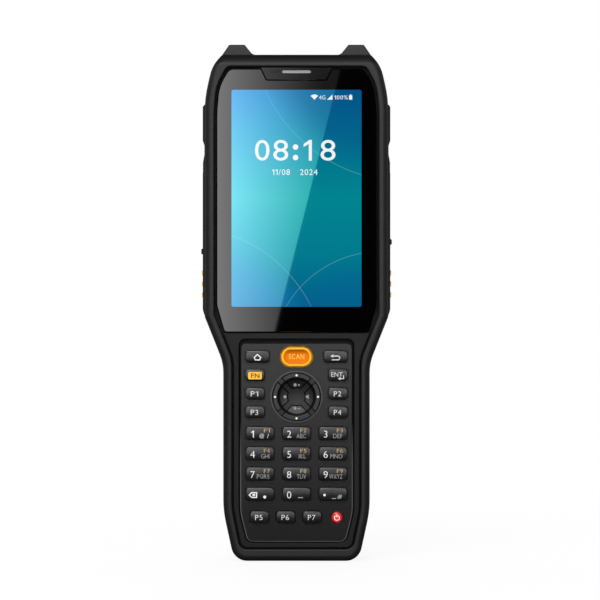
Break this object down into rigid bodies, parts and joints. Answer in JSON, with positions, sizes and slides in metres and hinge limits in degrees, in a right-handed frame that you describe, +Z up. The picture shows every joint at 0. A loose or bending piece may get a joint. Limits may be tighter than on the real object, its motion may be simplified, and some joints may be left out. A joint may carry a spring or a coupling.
{
  "type": "portable barcode data terminal",
  "caption": "Rugged hand-held data terminal: touch screen in a wide head, waisted keypad grip, ringed navigation pad, orange scan keys, port covers and rear battery pack.",
  "frame": {"origin": "middle of the flat bottom end, midway through the width and the depth", "axes": "+Z up along the length, screen and keys face -Y, +X to the right seen from the front"},
  "size_m": [0.077, 0.0292, 0.2069],
  "materials": {
    "frame_black": "fine-textured moulded ABS and polycarbonate",
    "insert_black": "satin moulded plastic",
    "panel_black": "satin moulded plastic",
    "housing_black": "spark-textured moulded plastic",
    "rubber_black": "matt elastomer",
    "horn_black": "matt elastomer",
    "silicone_grey": "silicone sheet",
    "cover_glass": "black-printed cover glass",
    "lcd_screen": "lit liquid-crystal panel",
    "trim_black": "satin moulded plastic",
    "mesh_grey": "woven dust screen",
    "chassis_metal": "black-coated die-cast light alloy",
    "board_green": "solder-masked board",
    "socket_steel": "plated steel",
    "side_orange": "satin moulded plastic",
    "scan_orange": "satin moulded plastic",
    "power_red": "gloss moulded plastic",
    "key_black": "satin moulded plastic",
    "scan_glass": "dark filter glass",
    "camera_glass": "dark glass",
    "engine_black": "moulded plastic",
    "grille_black": "painted metal",
    "battery_black": "spark-textured moulded plastic",
    "cell_metal": "foil-wrapped cells",
    "latch_grey": "satin moulded plastic",
    "contact_gold": "gold-plated"
  },
  "bodies": {
    "housing": {"camera_module": "engine_black", "camera_window": "camera_glass", "card_socket": "socket_steel", "chassis": "chassis_metal", "display_glass": "cover_glass", "dock_contacts": "contact_gold", "earpiece_cover": "trim_black", "earpiece_speaker": "mesh_grey", "front_insert": "insert_black", "housing_gasket": "rubber_black", "keymat": "silicone_grey", "keypad_panel": "panel_black", "lcd_panel": "lcd_screen", "loudspeaker": "engine_black", "main_board": "board_green", "outer_frame": "frame_black", "rear_housing": "housing_black", "scan_engine": "engine_black", "scan_window": "scan_glass", "side_bumper_left": "rubber_black", "side_bumper_right": "rubber_black", "speaker_grille": "grille_black", "top_bumper": "horn_black", "usb_socket": "socket_steel"},
    "key_1_cap": {"key_1": "key_black"},
    "key_2_cap": {"key_2": "key_black"},
    "key_3_cap": {"key_3": "key_black"},
    "key_4_cap": {"key_4": "key_black"},
    "key_5_cap": {"key_5": "key_black"},
    "key_6_cap": {"key_6": "key_black"},
    "key_7_cap": {"key_7": "key_black"},
    "key_8_cap": {"key_8": "key_black"},
    "key_9_cap": {"key_9": "key_black"},
    "key_backspace_cap": {"key_backspace": "key_black"},
    "key_0_cap": {"key_0": "key_black"},
    "key_symbol_cap": {"key_symbol": "key_black"},
    "key_home_cap": {"key_home": "key_black"},
    "key_back_cap": {"key_back": "key_black"},
    "key_fn_cap": {"key_fn": "key_black"},
    "key_enter_cap": {"key_enter": "key_black"},
    "key_p1_cap": {"key_p1": "key_black"},
    "key_p2_cap": {"key_p2": "key_black"},
    "key_p3_cap": {"key_p3": "key_black"},
    "key_p4_cap": {"key_p4": "key_black"},
    "key_p5_cap": {"key_p5": "key_black"},
    "key_p6_cap": {"key_p6": "key_black"},
    "key_p7_cap": {"key_p7": "key_black"},
    "key_scan_cap": {"key_scan": "scan_orange"},
    "key_power_cap": {"key_power": "power_red"},
    "nav_up_cap": {"nav_up": "key_black"},
    "nav_left_cap": {"nav_left": "key_black"},
    "nav_down_cap": {"nav_down": "key_black"},
    "nav_right_cap": {"nav_right": "key_black"},
    "key_side_left_cap": {"key_side_left": "side_orange"},
    "cover_left": {"port_cover_left": "rubber_black"},
    "key_side_right_cap": {"key_side_right": "side_orange"},
    "cover_right": {"port_cover_right": "rubber_black"},
    "battery": {"battery_case": "battery_black", "battery_cells": "cell_metal"},
    "latch": {"battery_latch": "latch_grey"}
  },
  "joints": [
    {"name": "key_side_left_press", "type": "slide", "parent": "housing", "child": "key_side_left_cap", "axis": [1, 0, 0], "range_m": [0, 0.0005], "stiffness_N_per_m": 1200},
    {"name": "key_side_right_press", "type": "slide", "parent": "housing", "child": "key_side_right_cap", "axis": [-1, 0, 0], "range_m": [0, 0.0005], "stiffness_N_per_m": 1200},
    {"name": "cover_left_hinge", "type": "hinge", "parent": "housing", "child": "cover_left", "pos_m": [-0.03695, 0.0008, 0.14155], "axis": [0, 1, 0], "range_deg": [0, 100]},
    {"name": "cover_right_hinge", "type": "hinge", "parent": "housing", "child": "cover_right", "pos_m": [0.03695, 0.0008, 0.13885], "axis": [0, -1, 0], "range_deg": [0, 100]},
    {"name": "battery_lift", "type": "slide", "parent": "housing", "child": "battery", "axis": [0, 1, 0], "range_m": [0, 0.03]},
    {"name": "latch_slide", "type": "slide", "parent": "battery", "child": "latch", "axis": [0, 0, -1], "range_m": [0, 0.0025], "stiffness_N_per_m": 300},
    {"name": "key_1_press", "type": "slide", "parent": "housing", "child": "key_1_cap", "axis": [0, 1, 0], "range_m": [0, 0.00035], "stiffness_N_per_m": 1000},
    {"name": "key_2_press", "type": "slide", "parent": "housing", "child": "key_2_cap", "axis": [0, 1, 0], "range_m": [0, 0.00035], "stiffness_N_per_m": 1000},
    {"name": "key_3_press", "type": "slide", "parent": "housing", "child": "key_3_cap", "axis": [0, 1, 0], "range_m": [0, 0.00035], "stiffness_N_per_m": 1000},
    {"name": "key_4_press", "type": "slide", "parent": "housing", "child": "key_4_cap", "axis": [0, 1, 0], "range_m": [0, 0.00035], "stiffness_N_per_m": 1000},
    {"name": "key_5_press", "type": "slide", "parent": "housing", "child": "key_5_cap", "axis": [0, 1, 0], "range_m": [0, 0.00035], "stiffness_N_per_m": 1000},
    {"name": "key_6_press", "type": "slide", "parent": "housing", "child": "key_6_cap", "axis": [0, 1, 0], "range_m": [0, 0.00035], "stiffness_N_per_m": 1000},
    {"name": "key_7_press", "type": "slide", "parent": "housing", "child": "key_7_cap", "axis": [0, 1, 0], "range_m": [0, 0.00035], "stiffness_N_per_m": 1000},
    {"name": "key_8_press", "type": "slide", "parent": "housing", "child": "key_8_cap", "axis": [0, 1, 0], "range_m": [0, 0.00035], "stiffness_N_per_m": 1000},
    {"name": "key_9_press", "type": "slide", "parent": "housing", "child": "key_9_cap", "axis": [0, 1, 0], "range_m": [0, 0.00035], "stiffness_N_per_m": 1000},
    {"name": "key_backspace_press", "type": "slide", "parent": "housing", "child": "key_backspace_cap", "axis": [0, 1, 0], "range_m": [0, 0.00035], "stiffness_N_per_m": 1000},
    {"name": "key_0_press", "type": "slide", "parent": "housing", "child": "key_0_cap", "axis": [0, 1, 0], "range_m": [0, 0.00035], "stiffness_N_per_m": 1000},
    {"name": "key_symbol_press", "type": "slide", "parent": "housing", "child": "key_symbol_cap", "axis": [0, 1, 0], "range_m": [0, 0.00035], "stiffness_N_per_m": 1000},
    {"name": "key_home_press", "type": "slide", "parent": "housing", "child": "key_home_cap", "axis": [0, 1, 0], "range_m": [0, 0.00035], "stiffness_N_per_m": 1000},
    {"name": "key_back_press", "type": "slide", "parent": "housing", "child": "key_back_cap", "axis": [0, 1, 0], "range_m": [0, 0.00035], "stiffness_N_per_m": 1000},
    {"name": "key_fn_press", "type": "slide", "parent": "housing", "child": "key_fn_cap", "axis": [0, 1, 0], "range_m": [0, 0.00035], "stiffness_N_per_m": 1000},
    {"name": "key_enter_press", "type": "slide", "parent": "housing", "child": "key_enter_cap", "axis": [0, 1, 0], "range_m": [0, 0.00035], "stiffness_N_per_m": 1000},
    {"name": "key_p1_press", "type": "slide", "parent": "housing", "child": "key_p1_cap", "axis": [0, 1, 0], "range_m": [0, 0.00035], "stiffness_N_per_m": 1000},
    {"name": "key_p2_press", "type": "slide", "parent": "housing", "child": "key_p2_cap", "axis": [0, 1, 0], "range_m": [0, 0.00035], "stiffness_N_per_m": 1000},
    {"name": "key_p3_press", "type": "slide", "parent": "housing", "child": "key_p3_cap", "axis": [0, 1, 0], "range_m": [0, 0.00035], "stiffness_N_per_m": 1000},
    {"name": "key_p4_press", "type": "slide", "parent": "housing", "child": "key_p4_cap", "axis": [0, 1, 0], "range_m": [0, 0.00035], "stiffness_N_per_m": 1000},
    {"name": "key_p5_press", "type": "slide", "parent": "housing", "child": "key_p5_cap", "axis": [0, 1, 0], "range_m": [0, 0.00035], "stiffness_N_per_m": 1000},
    {"name": "key_p6_press", "type": "slide", "parent": "housing", "child": "key_p6_cap", "axis": [0, 1, 0], "range_m": [0, 0.00035], "stiffness_N_per_m": 1000},
    {"name": "key_p7_press", "type": "slide", "parent": "housing", "child": "key_p7_cap", "axis": [0, 1, 0], "range_m": [0, 0.00035], "stiffness_N_per_m": 1000},
    {"name": "key_scan_press", "type": "slide", "parent": "housing", "child": "key_scan_cap", "axis": [0, 1, 0], "range_m": [0, 0.00035], "stiffness_N_per_m": 1000},
    {"name": "key_power_press", "type": "slide", "parent": "housing", "child": "key_power_cap", "axis": [0, 1, 0], "range_m": [0, 0.00035], "stiffness_N_per_m": 1000},
    {"name": "nav_up_press", "type": "slide", "parent": "housing", "child": "nav_up_cap", "axis": [0, 1, 0], "range_m": [0, 0.00035], "stiffness_N_per_m": 1000},
    {"name": "nav_left_press", "type": "slide", "parent": "housing", "child": "nav_left_cap", "axis": [0, 1, 0], "range_m": [0, 0.00035], "stiffness_N_per_m": 1000},
    {"name": "nav_down_press", "type": "slide", "parent": "housing", "child": "nav_down_cap", "axis": [0, 1, 0], "range_m": [0, 0.00035], "stiffness_N_per_m": 1000},
    {"name": "nav_right_press", "type": "slide", "parent": "housing", "child": "nav_right_cap", "axis": [0, 1, 0], "range_m": [0, 0.00035], "stiffness_N_per_m": 1000}
  ]
}
